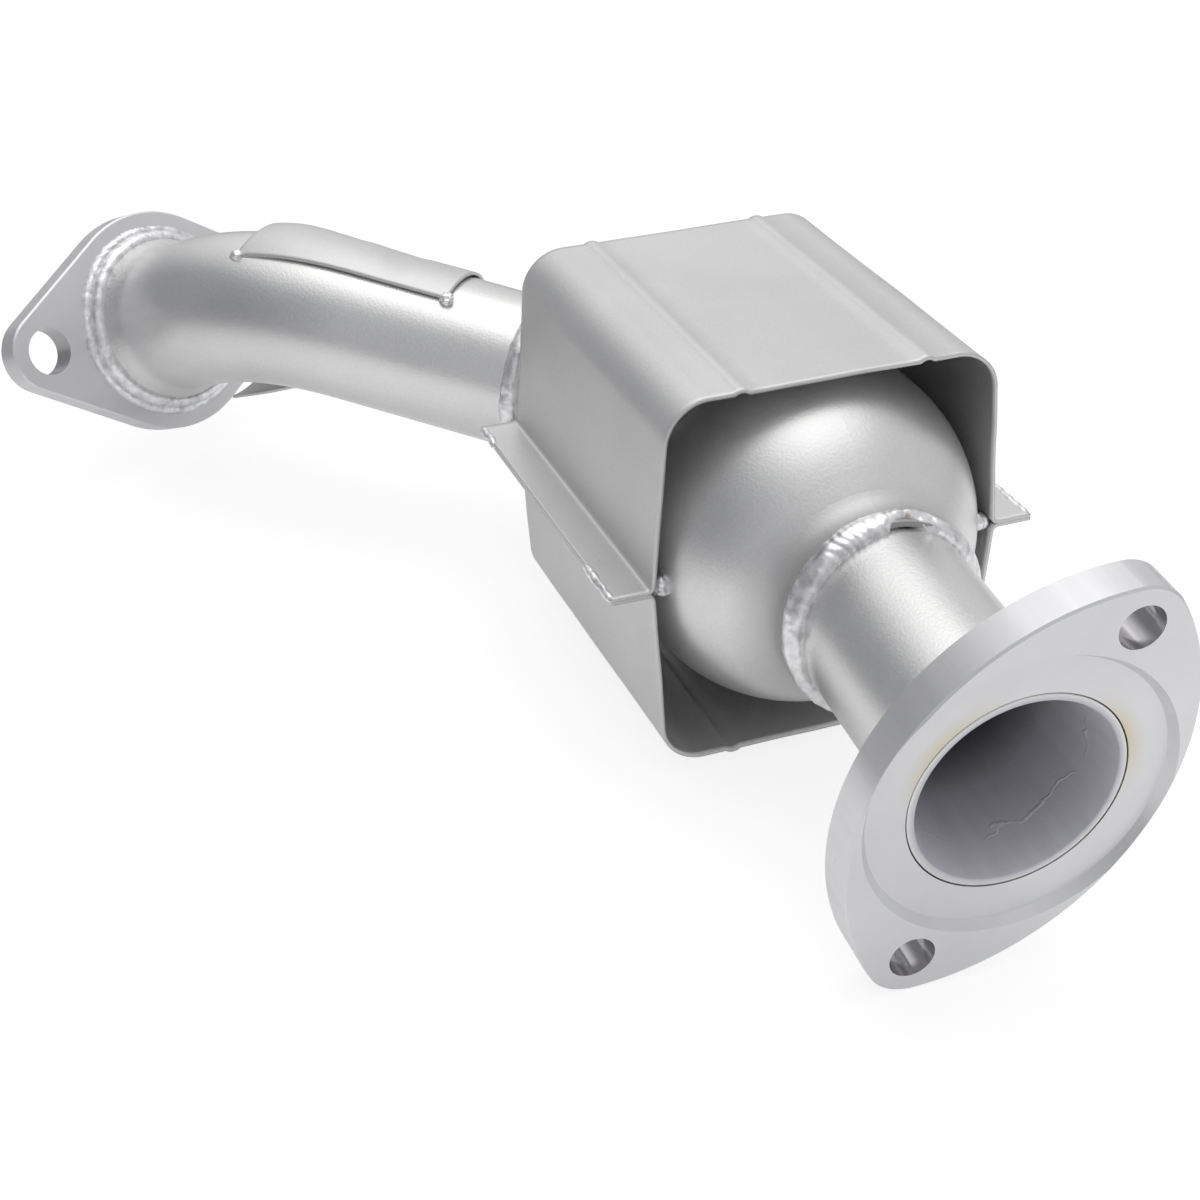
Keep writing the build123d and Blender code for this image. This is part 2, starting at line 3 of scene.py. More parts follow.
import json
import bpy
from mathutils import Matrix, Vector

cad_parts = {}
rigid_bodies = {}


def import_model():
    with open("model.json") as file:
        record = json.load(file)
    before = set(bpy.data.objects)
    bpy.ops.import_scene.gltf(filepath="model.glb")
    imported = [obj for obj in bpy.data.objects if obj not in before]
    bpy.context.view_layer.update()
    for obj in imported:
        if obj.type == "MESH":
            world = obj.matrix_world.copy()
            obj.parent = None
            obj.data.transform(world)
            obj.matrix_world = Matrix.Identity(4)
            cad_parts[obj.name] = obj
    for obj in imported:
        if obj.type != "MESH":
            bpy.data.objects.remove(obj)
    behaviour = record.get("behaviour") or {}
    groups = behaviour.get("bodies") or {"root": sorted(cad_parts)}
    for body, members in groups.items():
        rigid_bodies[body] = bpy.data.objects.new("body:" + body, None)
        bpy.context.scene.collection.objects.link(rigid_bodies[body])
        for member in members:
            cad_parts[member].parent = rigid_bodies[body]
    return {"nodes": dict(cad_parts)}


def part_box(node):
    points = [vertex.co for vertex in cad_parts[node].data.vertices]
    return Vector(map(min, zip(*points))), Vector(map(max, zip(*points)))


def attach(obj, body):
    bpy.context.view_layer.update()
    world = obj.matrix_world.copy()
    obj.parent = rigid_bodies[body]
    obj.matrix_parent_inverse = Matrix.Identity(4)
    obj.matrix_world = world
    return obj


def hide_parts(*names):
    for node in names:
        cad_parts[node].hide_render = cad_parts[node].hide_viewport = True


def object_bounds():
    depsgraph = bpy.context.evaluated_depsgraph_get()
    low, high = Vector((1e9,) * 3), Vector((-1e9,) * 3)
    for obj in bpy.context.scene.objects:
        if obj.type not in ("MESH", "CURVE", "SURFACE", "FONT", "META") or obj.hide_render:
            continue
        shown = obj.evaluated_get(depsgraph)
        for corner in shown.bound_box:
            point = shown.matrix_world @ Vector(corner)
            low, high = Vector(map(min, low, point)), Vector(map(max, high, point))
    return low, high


bl_info = {
    "name": "Catalytic Converter",
    "version": (1, 0, 0),
    "blender": (4, 5, 0),
    "location": "3D View > Sidebar > Converter",
    "description": "Dresses a catalytic converter with its welds, sheets and metal finishes",
    "category": "Object",
}

from math import acos, atan2, cos, degrees, pi, radians, sin, sqrt, tan

import bmesh
import bpy
from bpy.props import FloatProperty, FloatVectorProperty, IntProperty
from bpy.types import NodeSocket, Operator, Panel, PropertyGroup
from mathutils import Matrix, Vector, kdtree, noise

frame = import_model()
solids_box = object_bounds()
MM = 0.001

# Places shared with the solids, in metres
BODY_Y = 2.8 * MM
BODY_Z = 6.2 * MM
NECK_END = Vector((-77.0 * MM, BODY_Y, BODY_Z))
PIPE_R = 25.4 * MM
OUTLET_TUBE_END = 82.3 * MM
INLET_JOINT = Vector((-262.2, -23.7, -2.0)) * MM
INLET_CORNER = Vector((-318.2, -104.4, 17.6)) * MM
INLET_END = Vector((-369.3, -131.5, -6.2)) * MM
BEND_R = 82.0 * MM
NECK_BEAD_R = 26.2 * MM
INLET_TURN = radians(174.8)
INLET_WALL = 1.8 * MM
REAR_CENTRE = Vector((-208.603, 2.8, 6.2)) * MM
SHIELD_FRONT = -110.6 * MM
SHIELD_REAR = -221.8 * MM
SHIELD_HALF = 52.1 * MM
SHIELD_LIP = 11.5 * MM
SHIELD_SPLIT = 5.3 * MM
SHIELD_CORNER_R = 13.0 * MM
RIB_RISE = 0.8 * MM
SHEET = 1.0 * MM

# Bolt holes: from the flange's centre to one of its two holes, and their radius
OUTLET_HOLE = Vector((0.087832, 0.466588, 0.880103)) * 50.5 * MM
OUTLET_HOLE_R = 6.1 * MM
INLET_HOLE = Vector((0.436127, -0.895973, 0.083815)) * 48.0 * MM
INLET_HOLE_R = 8.0 * MM

RUST_SPOT = Vector((-77.6, 8.3, 31.9)) * MM
TINT_SPOTS = (Vector((0.7, -23.7, 19.3)) * MM, Vector((1.9, 28.0, 10.8)) * MM)

# The photo's camera: focal length and centre in its pixels, place and directions
PHOTO_WIDTH = 1200
FOCAL_LENGTH = 2160.444
PHOTO_CENTRE = (580.854, 615.696)
CAMERA_PLACE = Vector((349.722, -236.017, 303.098)) * MM
CAMERA_RIGHT = Vector((0.348621, 0.937143, -0.015040))
CAMERA_DOWN = Vector((0.484961, -0.194093, -0.852725))
CAMERA_AHEAD = Vector((-0.802045, 0.289984, -0.522143))

outlet_dir = -NECK_END.normalized()
end_dir = (INLET_CORNER - INLET_END).normalized()
run_dir = (INLET_JOINT - INLET_CORNER).normalized()
rear_dir = (INLET_JOINT - REAR_CENTRE).normalized()
mitre_dir = (rear_dir - run_dir).normalized()
bend_axis = end_dir.cross(run_dir).normalized()
bend_angle = acos(end_dir.dot(run_dir))
bend_tangent = BEND_R * tan(bend_angle / 2)
first_run = (INLET_CORNER - INLET_END).length - bend_tangent
last_run = (INLET_CORNER - INLET_JOINT).length - bend_tangent


class ConverterSizes(PropertyGroup):
    """Sizes of the rough and wavy detail"""

    ripple: FloatProperty(
        name="Weld Ripple",
        description="Height of the ripples along the weld beads",
        default=0.22 * MM,
        subtype="DISTANCE",
    )
    pitch: FloatProperty(
        name="Weld Pitch",
        description="Length of one ripple along a weld bead",
        default=2.9 * MM,
        subtype="DISTANCE",
    )
    lump: FloatProperty(
        name="Weld Lump",
        description="Height of the uneven lumps on the weld beads",
        default=0.8 * MM,
        subtype="DISTANCE",
    )
    wave: FloatProperty(
        name="Sheet Wave",
        description="Depth of the soft dents in the boxed heat shield",
        default=0.35 * MM,
        subtype="DISTANCE",
    )
    crimp: FloatProperty(
        name="Pipe Shield Crimp",
        description="Depth of the crimps along the pipe's heat shield",
        default=0.9 * MM,
        subtype="DISTANCE",
    )
    lengthwise: IntProperty(
        name="Sheet Divisions",
        description="Divisions of the boxed heat shield along its length",
        default=70,
    )


class ConverterColours(PropertyGroup):
    """Colours of the metal"""

    coating: FloatVectorProperty(
        name="Satin Coating",
        description="Silver grey of the shell, pipes and sheets",
        default=(0.74, 0.74, 0.735),
        subtype="COLOR",
    )
    flange: FloatVectorProperty(
        name="Flange Steel",
        description="Pale grey of the machined flanges",
        default=(0.74, 0.74, 0.75),
        subtype="COLOR",
    )
    bare: FloatVectorProperty(
        name="Bare Bore",
        description="Dull grey inside the pipes",
        default=(0.60, 0.60, 0.64),
        subtype="COLOR",
    )
    weld: FloatVectorProperty(
        name="Weld Metal",
        description="Bright grey of the weld beads",
        default=(0.84, 0.84, 0.85),
        subtype="COLOR",
    )
    tint: FloatVectorProperty(
        name="Heat Tint",
        description="Straw tint beside the outlet bore",
        default=(0.66, 0.58, 0.36),
        subtype="COLOR",
    )
    rust: FloatVectorProperty(
        name="Rust Speck",
        description="Rusty speck in the undercut of the outlet neck's weld",
        default=(0.20, 0.07, 0.03),
        subtype="COLOR",
    )


# Shader nodes

MEASURES = {"DISTANCE", "DOT_PRODUCT", "LENGTH"}


class Shader:
    """Short ways to add nodes to one material, world or node group."""

    def __init__(self, tree):
        self.nodes, self.links = tree.nodes, tree.links

    def put(self, socket, value):
        """Links a socket to another one, or gives it a plain value."""
        if isinstance(value, NodeSocket):
            self.links.new(value, socket)
        else:
            socket.default_value = value

    def add(self, kind, inputs=(), **settings):
        """New node with its settings, and its inputs by name or number."""
        node = self.nodes.new("ShaderNode" + kind)
        for name, value in settings.items():
            setattr(node, name, value)
        for key, value in dict(inputs).items():
            self.put(node.inputs[key], value)
        return node

    def group(self, name, **inputs):
        """Outputs of a shared group, which is made when first asked for."""
        tree = bpy.data.node_groups.get(name) or GROUPS[name]()
        named = {key.replace("_", " "): value for key, value in inputs.items()}
        return self.add("Group", named.items(), node_tree=tree).outputs

    def place(self, kind="Object"):
        """Coordinates of the shaded point."""
        return self.add("TexCoord").outputs[kind]

    def math(self, operation, *values):
        """Math node over sockets or numbers."""
        return self.add("Math", enumerate(values), operation=operation).outputs[0]

    def vector(self, operation, *values):
        """Vector Math node over sockets or vectors."""
        node = self.add("VectorMath", enumerate(values), operation=operation)
        return node.outputs["Value" if operation in MEASURES else "Vector"]

    def scaled(self, value, factor, add=0.0):
        """Value times factor plus add."""
        return self.math("MULTIPLY_ADD", value, factor, add)

    def plus(self, first, second):
        """Sum of two values."""
        return self.math("ADD", first, second)

    def times(self, first, second):
        """Product of two values."""
        return self.math("MULTIPLY", first, second)

    def masked(self, value, low, high):
        """How far a value is from low to high, kept within 0 and 1."""
        limits = {"Value": value, "From Min": low, "From Max": high}
        return self.add("MapRange", limits).outputs[0]

    def mix(self, mask, low, high):
        """Colour between two colours or sockets."""
        ends = [v if isinstance(v, NodeSocket) else (*v, 1.0) for v in (low, high)]
        return self.add("Mix", {0: mask, 6: ends[0], 7: ends[1]}, data_type="RGBA").outputs[2]

    def noise(self, scale, detail, place=None, roughness=0.5):
        """Noise between 0 and 1, over object coordinates if no place is given."""
        place = place or self.place()
        inputs = {"Vector": place, "Scale": scale, "Detail": detail, "Roughness": roughness}
        return self.add("TexNoise", inputs).outputs["Fac"]


def toned(colour, factor):
    """Darker or lighter copy of a colour."""
    return tuple(min(1.0, c * factor) for c in colour)


def new_group(name, inputs, outputs):
    """Empty shader node group: its Shader, what enters it and what leaves it.

    inputs gives each input's name and plain value, outputs the names of the values made.
    """
    group = bpy.data.node_groups.new(name, "ShaderNodeTree")
    for label, value in inputs.items():
        kind = "NodeSocketFloat" if isinstance(value, float) else "NodeSocketVector"
        socket = group.interface.new_socket(name=label, in_out="INPUT", socket_type=kind)
        socket.default_value = value
    for label in outputs:
        group.interface.new_socket(name=label, in_out="OUTPUT", socket_type="NodeSocketFloat")
    entry = group.nodes.new("NodeGroupInput").outputs
    leave = group.nodes.new("NodeGroupOutput").inputs
    return Shader(group), entry, leave


def satin_grain_group():
    """Fine paint grain as a height, and soft cloudiness around zero."""
    scales = {"Grain Scale": 1800.0, "Cloud Scale": 22.0}
    shader, entry, leave = new_group("satin_grain", scales, ["Height", "Cloud"])
    shader.put(leave["Height"], shader.noise(entry["Grain Scale"], 2.0))
    cloud = shader.noise(entry["Cloud Scale"], 3.0)
    shader.put(leave["Cloud"], shader.math("SUBTRACT", cloud, 0.5))
    return leave[0].id_data


def speck_group():
    """Sparse small spots: a mask that is one inside a spot."""
    sizes = {"Scale": 300.0, "Size": 0.16, "Share": 0.3}
    shader, entry, leave = new_group("specks", sizes, ["Mask"])
    inputs = {"Vector": shader.place(), "Scale": entry["Scale"]}
    cells = shader.add("TexVoronoi", inputs).outputs
    near = shader.math("LESS_THAN", cells["Distance"], entry["Size"])
    pick = shader.add("SeparateColor", {0: cells["Color"]}).outputs[0]
    kept = shader.math("LESS_THAN", pick, entry["Share"])
    shader.put(leave["Mask"], shader.times(near, kept))
    return leave[0].id_data


def axis_group():
    """Place about an axis: height, radius, how the surface faces, and two grains."""
    shader, entry, leave = new_group(
        "about_axis",
        {"Centre": (0.0, 0.0, 0.0), "Axis": (0.0, 0.0, 1.0), "Streak Scale": 900.0},
        ["Height", "Radius", "Outwards", "Level", "Ring", "Streak"],
    )
    axis, normal = entry["Axis"], shader.place("Normal")
    offset = shader.vector("SUBTRACT", shader.place(), entry["Centre"])
    height = shader.vector("DOT_PRODUCT", offset, axis)
    along = shader.add("VectorMath", {0: axis, "Scale": height}, operation="SCALE").outputs[0]
    radial = shader.vector("SUBTRACT", offset, along)
    radius = shader.vector("LENGTH", radial)
    outwards = shader.vector("DOT_PRODUCT", shader.vector("NORMALIZE", radial), normal)
    level = shader.vector("DOT_PRODUCT", axis, normal)
    lathe = {"W": radius, "Scale": 2400.0}
    ring = shader.add("TexNoise", lathe, noise_dimensions="1D").outputs["Fac"]
    streak = shader.noise(entry["Streak Scale"], 3.0, radial)
    for index, value in enumerate((height, radius, outwards, level, ring, streak)):
        shader.put(leave[index], value)
    return leave[0].id_data


GROUPS = {"satin_grain": satin_grain_group, "specks": speck_group, "about_axis": axis_group}


# Finishes


def start_material(name, base, roughness, metallic):
    """New material with plain values, its Shader and its Principled BSDF's inputs."""
    made = bpy.data.materials.new(name)
    made.use_nodes = True
    surface = made.node_tree.nodes["Principled BSDF"].inputs
    surface["Base Color"].default_value = (*base, 1.0)
    surface["Roughness"].default_value = roughness
    surface["Metallic"].default_value = metallic
    return made, Shader(made.node_tree), surface


def finish_surface(shader, surface, colour, gloss, height, distance, strength):
    """Puts a colour, a roughness and a bump made from a height onto a surface."""
    bump = {"Height": height, "Distance": distance, "Strength": strength}
    shader.put(surface["Base Color"], colour)
    shader.put(surface["Roughness"], gloss)
    shader.put(surface["Normal"], shader.add("Bump", bump).outputs["Normal"])


def about(shader, centre, axis, streaks=900.0):
    """Outputs of the group that gives the place about an axis."""
    return shader.group("about_axis", Centre=centre, Axis=axis, Streak_Scale=streaks)


def rusted(shader, ragged, colour, share):
    """Colour with the rusty speck of the weld's undercut laid over it."""
    away = shader.vector("DISTANCE", shader.place(), RUST_SPOT)
    reach = shader.plus(away, shader.scaled(ragged, 0.006, -0.003))
    mask = shader.scaled(shader.masked(reach, 0.0034, 0.0012), share)
    return shader.mix(mask, colour, tuple(bpy.context.scene.converter_colours.rust))


def bare_inside(shader, surface, bore, metallic, colour, gloss, height):
    """Dull bore with painted shade far inside it, a weld's root line and a rusty speck."""
    centre, axis, tone = bore
    inside = about(shader, centre, axis, 260.0)
    bare = shader.masked(inside["Outwards"], 0.15, -0.15)
    # painted shade: the colour falls to a quarter of its tone far inside the bore, where shade
    # falls
    painted_shade_deep_in = shader.masked(inside["Height"], -31 * MM, -49 * MM)
    mottle = shader.scaled(inside["Streak"], 0.25, 0.85)
    # mottled tone of the bare metal, then the painted shade far inside
    mottle_and_painted_shade = shader.mix(mottle, (0.0, 0.0, 0.0), tone)
    mottle_and_painted_shade = shader.mix(painted_shade_deep_in, mottle_and_painted_shade, toned(tone, 0.25))
    colour = shader.mix(bare, colour, mottle_and_painted_shade)
    gloss = shader.plus(gloss, shader.scaled(bare, 0.16))
    shader.put(surface["Metallic"], shader.scaled(bare, -0.74, metallic))
    wander = shader.noise(75.0, 5.0)
    depth = shader.plus(inside["Height"], shader.scaled(wander, 0.022, 0.003))
    root = shader.masked(shader.math("ABSOLUTE", depth), 0.6 * MM, 0.2 * MM)
    root = shader.times(root, bare)
    root = shader.times(root, shader.masked(wander, 0.44, 0.56))
    colour = shader.mix(shader.scaled(root, 0.6), colour, (0.72, 0.72, 0.74))
    height = shader.plus(height, shader.scaled(root, 5.0))
    return rusted(shader, wander, colour, 0.5), gloss, height


def beside_weld(shader, collar, base, colour, gloss, height):
    """Stretch beside a weld, roughened and dulled by its heat."""
    centre, axis, far, close, lumps, dulling = collar
    near = shader.masked(about(shader, centre, axis)["Height"], far, close)
    rough = shader.times(shader.noise(520.0, 3.0), near)
    height = shader.plus(height, shader.scaled(rough, lumps))
    gloss = shader.plus(gloss, shader.scaled(near, 0.12 + 0.4 * dulling))
    colour = shader.mix(shader.scaled(near, dulling), colour, toned(base, 0.3))
    return colour, gloss, height


def satin_material(name, base, roughness, metallic, spread=0.05, bore=None, collar=None):
    """Satin metal coat: fine grain, soft clouds in tone and gloss.

    bore is the (centre, axis, colour) of a bare inside with painted shade far in it; collar the
    (centre, axis, far, close, lumps, dulling) of a stretch that the heat of a weld roughened or
    dulled.
    """
    made, shader, surface = start_material(name, base, roughness, metallic)
    grains = shader.group("satin_grain", Grain_Scale=1250.0, Cloud_Scale=26.0)
    height, cloud = grains["Height"], grains["Cloud"]
    tone = shader.plus(shader.scaled(cloud, 2.0), shader.scaled(height, 1.6, -0.3))
    colour = shader.mix(tone, toned(base, 1 - spread), toned(base, 1 + spread))
    gloss = shader.scaled(cloud, 0.12, roughness - 0.06)
    gloss = shader.plus(gloss, shader.scaled(height, 0.12))
    if bore:
        colour, gloss, height = bare_inside(
            shader, surface, bore, metallic, colour, gloss, height
        )
    if collar:
        colour, gloss, height = beside_weld(shader, collar, base, colour, gloss, height)
    finish_surface(shader, surface, colour, gloss, height, 0.0001, 0.55)
    return made


def flange_material(name, base, centre, axis, hole, hole_r, turned, tint=None):
    """Plate with a turned face, sheared sides, drilled holes and a heat tint."""
    made, shader, surface = start_material(name, base, 0.40, 0.7)
    plate = about(shader, centre, axis, 210.0)
    side = shader.masked(shader.math("ABSOLUTE", plate["Level"]), 0.75, 0.35)
    lathe = shader.masked(plate["Radius"], turned + 0.0006, turned)
    grains = shader.group("satin_grain", Grain_Scale=1100.0, Cloud_Scale=40.0)
    shear = shader.times(plate["Streak"], side)
    height = shader.plus(shader.times(plate["Ring"], lathe), grains["Height"])
    height = shader.plus(height, shader.scaled(shear, 2.5))
    tone = shader.scaled(grains["Cloud"], 2.0, 0.5)
    colour = shader.mix(tone, toned(base, 0.95), toned(base, 1.05))
    streaky = shader.masked(plate["Streak"], 0.38, 0.62)
    ridged = shader.times(streaky, shader.scaled(side, 0.25))
    colour = shader.mix(ridged, colour, toned(base, 0.75))
    gloss = shader.scaled(grains["Cloud"], 0.14, 0.40)
    gloss = shader.math("SUBTRACT", gloss, shader.scaled(side, 0.10))
    if tint:
        patches = []
        for spot in TINT_SPOTS:
            away = shader.vector("DISTANCE", shader.place(), spot)
            patches.append(shader.masked(away, 0.020, 0.004))
        rise = shader.masked(plate["Radius"], 0.0335, 0.0290)
        mask = shader.times(rise, shader.math("MAXIMUM", *patches))
        colour = shader.mix(shader.scaled(mask, 0.7), colour, tint)
    for offset in (hole, -hole):
        drilled = about(shader, centre + offset, axis, 500.0)
        near = shader.masked(drilled["Radius"], hole_r + 0.0005, hole_r + 0.0002)
        wall = shader.times(near, shader.masked(drilled["Outwards"], 0.0, -0.5))
        colour = shader.mix(wall, colour, (0.47, 0.46, 0.47))
        gloss = shader.math("SUBTRACT", gloss, shader.scaled(wall, 0.14))
    finish_surface(shader, surface, colour, gloss, height, 0.00008, 0.16)
    return made


def weld_material(name, base):
    """Bright weld metal: uneven gloss, fine scale and a rusty spot in the undercut."""
    made, shader, surface = start_material(name, base, 0.28, 0.88)
    lumps = shader.noise(290.0, 3.0, roughness=0.55)
    tone = shader.masked(lumps, 0.32, 0.62)
    colour = shader.mix(tone, toned(base, 0.78), toned(base, 1.12))
    specks = shader.group("specks", Scale=240.0, Size=0.20, Share=0.03)
    colour = shader.mix(shader.scaled(specks["Mask"], 0.7), colour, toned(base, 0.3))
    colour = rusted(shader, lumps, colour, 0.9)
    limits = {"Value": lumps, "From Min": 0.25, "From Max": 0.75, "To Min": 0.29, "To Max": 0.42}
    gloss = shader.add("MapRange", limits).outputs[0]
    finish_surface(shader, surface, colour, gloss, lumps, 0.0005, 0.4)
    return made


def matte_material(name, base, roughness, scale):
    """Matte ceramic, fibre or knitted wire with a mottled tone."""
    made, shader, surface = start_material(name, base, roughness, 0.0)
    mottle = shader.noise(scale, 4.0)
    colour = shader.mix(mottle, toned(base, 0.8), toned(base, 1.15))
    finish_surface(shader, surface, colour, roughness, mottle, 0.0004, 0.5)
    return made


def material(name):
    """One of the object's finishes, made when first asked for."""
    if name in bpy.data.materials:
        return bpy.data.materials[name]
    tones = bpy.context.scene.converter_colours
    coat, bare, plate = tuple(tones.coating), tuple(tones.bare), tuple(tones.flange)
    origin = Vector((0, 0, 0))
    bore = (origin, outlet_dir, bare)
    burnt_neck = (NECK_END, outlet_dir, -0.018, -0.006, 1.2, 0.50)
    lumpy_flare = (INLET_END, end_dir, 0.016, 0.0064, 5.0, 0.0)
    outlet = (origin, outlet_dir, OUTLET_HOLE, OUTLET_HOLE_R, 41.3 * MM, tuple(tones.tint))
    inlet = (INLET_END, end_dir, INLET_HOLE, INLET_HOLE_R, 30.0 * MM)
    makers = {
        "shell_coat": lambda: satin_material(name, coat, 0.38, 0.84, collar=burnt_neck),
        "pipe_coat": lambda: satin_material(name, coat, 0.34, 0.88, bore=bore),
        "inlet_coat": lambda: satin_material(name, coat, 0.33, 0.90, collar=lumpy_flare),
        "bare_bore": lambda: satin_material(name, bare, 0.50, 0.30, 0.10),
        "sheet_coat": lambda: satin_material(name, toned(coat, 0.90), 0.45, 0.70),
        "outlet_plate": lambda: flange_material(name, plate, *outlet),
        "inlet_plate": lambda: flange_material(name, plate, *inlet),
        "weld_metal": lambda: weld_material(name, tuple(tones.weld)),
        "brick_ceramic": lambda: matte_material(name, (0.62, 0.60, 0.55), 0.9, 300.0),
        "mat_fibre": lambda: matte_material(name, (0.75, 0.73, 0.68), 0.95, 900.0),
        "seal_wire": lambda: matte_material(name, (0.36, 0.36, 0.36), 0.7, 1500.0),
    }
    return makers[name]()


def coat_node(node, name):
    """Gives a carried-over solid its finish."""
    solid = frame["nodes"][node]
    if not solid.material_slots:
        solid.data.materials.append(None)
    for place in solid.material_slots:
        place.material = material(name)


# Making pieces


def add_piece(bm, name, finish, node):
    """Turns a bmesh into a smooth piece that rides on the part in a node's place."""
    bmesh.ops.remove_doubles(bm, verts=bm.verts, dist=1e-7)
    mesh = bpy.data.meshes.new(name)
    bm.to_mesh(mesh)
    bm.free()
    piece = bpy.data.objects.new(name, mesh)
    bpy.context.scene.collection.objects.link(piece)
    for face in mesh.polygons:
        face.use_smooth = True
    mesh.materials.append(material(finish))
    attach(piece, "root")
    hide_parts(node)
    return piece


def axes(origin, x_dir, z_dir):
    """Matrix of a place whose x and z directions are given."""
    z_dir = z_dir.normalized()
    x_dir = (x_dir - z_dir * x_dir.dot(z_dir)).normalized()
    y_dir = z_dir.cross(x_dir)
    rows = Matrix((x_dir, y_dir, z_dir)).transposed().to_4x4()
    return Matrix.Translation(origin) @ rows


def join(bm, other):
    """Adds one bmesh to another and frees it."""
    mesh = bpy.data.meshes.new("joined")
    other.to_mesh(mesh)
    other.free()
    bm.from_mesh(mesh)
    bpy.data.meshes.remove(mesh)


def spin_round(bm, steps):
    """Spins everything once round the z axis."""
    bmesh.ops.spin(
        bm,
        geom=bm.verts[:] + bm.edges[:],
        axis=(0, 0, 1),
        cent=(0, 0, 0),
        angle=2 * pi,
        steps=steps,
        use_merge=True,
    )


def bevel_edges(bm, edges, offset, segments):
    """Rounds edges evenly."""
    bmesh.ops.bevel(
        bm,
        geom=edges,
        offset=offset,
        offset_type="OFFSET",
        affect="EDGES",
        segments=segments,
        profile=0.5,
        material=-1,
    )


def sharp_edges(bm, angle):
    """Edges whose faces meet at more than an angle, in degrees."""
    return [edge for edge in bm.edges if edge.calc_face_angle(0) > radians(angle)]


def face_towards(bm, spot, direction):
    """Turns all faces so that the one nearest to a spot looks along a direction."""
    bmesh.ops.recalc_face_normals(bm, faces=bm.faces)
    bm.normal_update()
    near = min(bm.faces, key=lambda face: (face.calc_center_median() - spot).length)
    if near.normal.dot(direction) < 0:
        bmesh.ops.reverse_faces(bm, faces=bm.faces)
    bm.normal_update()


# Weld beads


def add_ring(
    bm, place, major, minor, rise, seed, stretch=1.0, width=1.0, wild=None, gap=None, calm=1.0
):
    """Adds a hand-run weld ring round a place's z axis.

    width widens its profile along the axis; wild is the turn, in degrees, where the
    bead is lumpiest, gap the turn of its undercut and calm what is left of its relief.
    """
    sizes = bpy.context.scene.converter_sizes
    ring = bmesh.new()
    bmesh.ops.create_circle(ring, segments=36, radius=minor)
    bmesh.ops.rotate(ring, verts=ring.verts, matrix=Matrix.Rotation(pi / 2, 3, "X"))
    bmesh.ops.scale(ring, verts=ring.verts, vec=(1, 1, width))
    bmesh.ops.translate(ring, verts=ring.verts, vec=(major, 0, rise))
    spin_round(ring, 480)
    dabs = round(2 * pi * major / sizes.pitch)
    for vert in ring.verts:
        flat = Vector((vert.co.x, vert.co.y, 0))
        core = flat.normalized() * major + Vector((0, 0, rise))
        out = (vert.co - core).normalized()
        turn = atan2(flat.y, flat.x)
        rough = calm
        if wild is not None:
            rough = 0.35 + 0.65 * (0.5 + 0.5 * cos(turn - radians(wild))) ** 1.5
        drift = noise.noise(flat * 70 + Vector((0, 0, seed))) * 2.2
        phase = turn * dabs / (2 * pi) + drift + 0.6 * out.z**2 + seed
        scallop = abs(cos(phase * pi)) - 0.6
        broad = noise.noise(vert.co * 95 + Vector((0, seed, 0)))
        lump = noise.noise(vert.co * 300 + Vector((seed, 0, 0)))
        fine = noise.noise(vert.co * 800 + Vector((0, 0, seed)))
        strong = 0.6 + 0.9 * noise.noise(vert.co * 60 + Vector((0, 0, seed)))
        lift = sizes.ripple * scallop * strong
        lift += sizes.lump * (0.62 * broad + 0.38 * lump + 0.12 * fine)
        near = noise.voronoi(vert.co * 430 + Vector((seed, seed, 0)))[0][0]
        lift += sizes.lump * max(0.0, 0.34 - near)
        notch = 0.0
        if gap is not None and out.z > 0:
            apart = (degrees(turn) - gap) / 15 + 0.35 * lump
            notch = 2.7 * MM * out.z * max(0.0, 1 - apart**2)
        vert.co += out * (lift * rough - notch)
    bmesh.ops.scale(ring, verts=ring.verts, vec=(stretch, 1, 1))
    bmesh.ops.transform(ring, verts=ring.verts, matrix=place)
    bmesh.ops.recalc_face_normals(ring, faces=ring.faces)
    join(bm, ring)


def add_blob(bm, centre, radius, seed):
    """Adds one lumpy tack weld."""
    sizes = bpy.context.scene.converter_sizes
    blob = bmesh.new()
    bmesh.ops.create_icosphere(blob, subdivisions=4, radius=radius)
    for vert in blob.verts:
        out = vert.co.normalized()
        lump = noise.noise(vert.co * 320 + Vector((seed, seed, 0)))
        fine = noise.noise(vert.co * 900 + Vector((0, seed, seed)))
        vert.co += out * sizes.lump * (0.9 * lump + 0.6 * fine)
    bmesh.ops.translate(blob, verts=blob.verts, vec=centre)
    join(bm, blob)


def add_stitch(bm, start, length, radius, seed):
    """Adds one ragged weld along a lip's edge, from its start towards -X."""
    sizes = bpy.context.scene.converter_sizes
    bead = bmesh.new()
    bmesh.ops.create_uvsphere(bead, u_segments=24, v_segments=60, radius=1.0)
    bmesh.ops.rotate(bead, verts=bead.verts, matrix=Matrix.Rotation(pi / 2, 3, "Y"))
    for vert in bead.verts:
        along = max(-1.0, min(1.0, vert.co.x))
        across = sqrt(max(1e-9, 1 - along**2))
        swell = sqrt(1 - along**6) / across * radius if across > 1e-3 else 0.0
        place = Vector((along * length / 2, vert.co.y * swell, vert.co.z * swell))
        out = Vector((0, vert.co.y, vert.co.z))
        ripple = sin(place.x / (1.9 * MM) * 2 * pi + seed)
        lump = noise.noise(place * 420 + Vector((seed, 0, seed)))
        rough = 0.15 * sizes.ripple * ripple + 0.6 * sizes.lump * lump
        vert.co = place + out * min(rough, 0.3 * MM)
    centre = start - Vector((length / 2, 0, 0))
    bmesh.ops.translate(bead, verts=bead.verts, vec=centre)
    join(bm, bead)


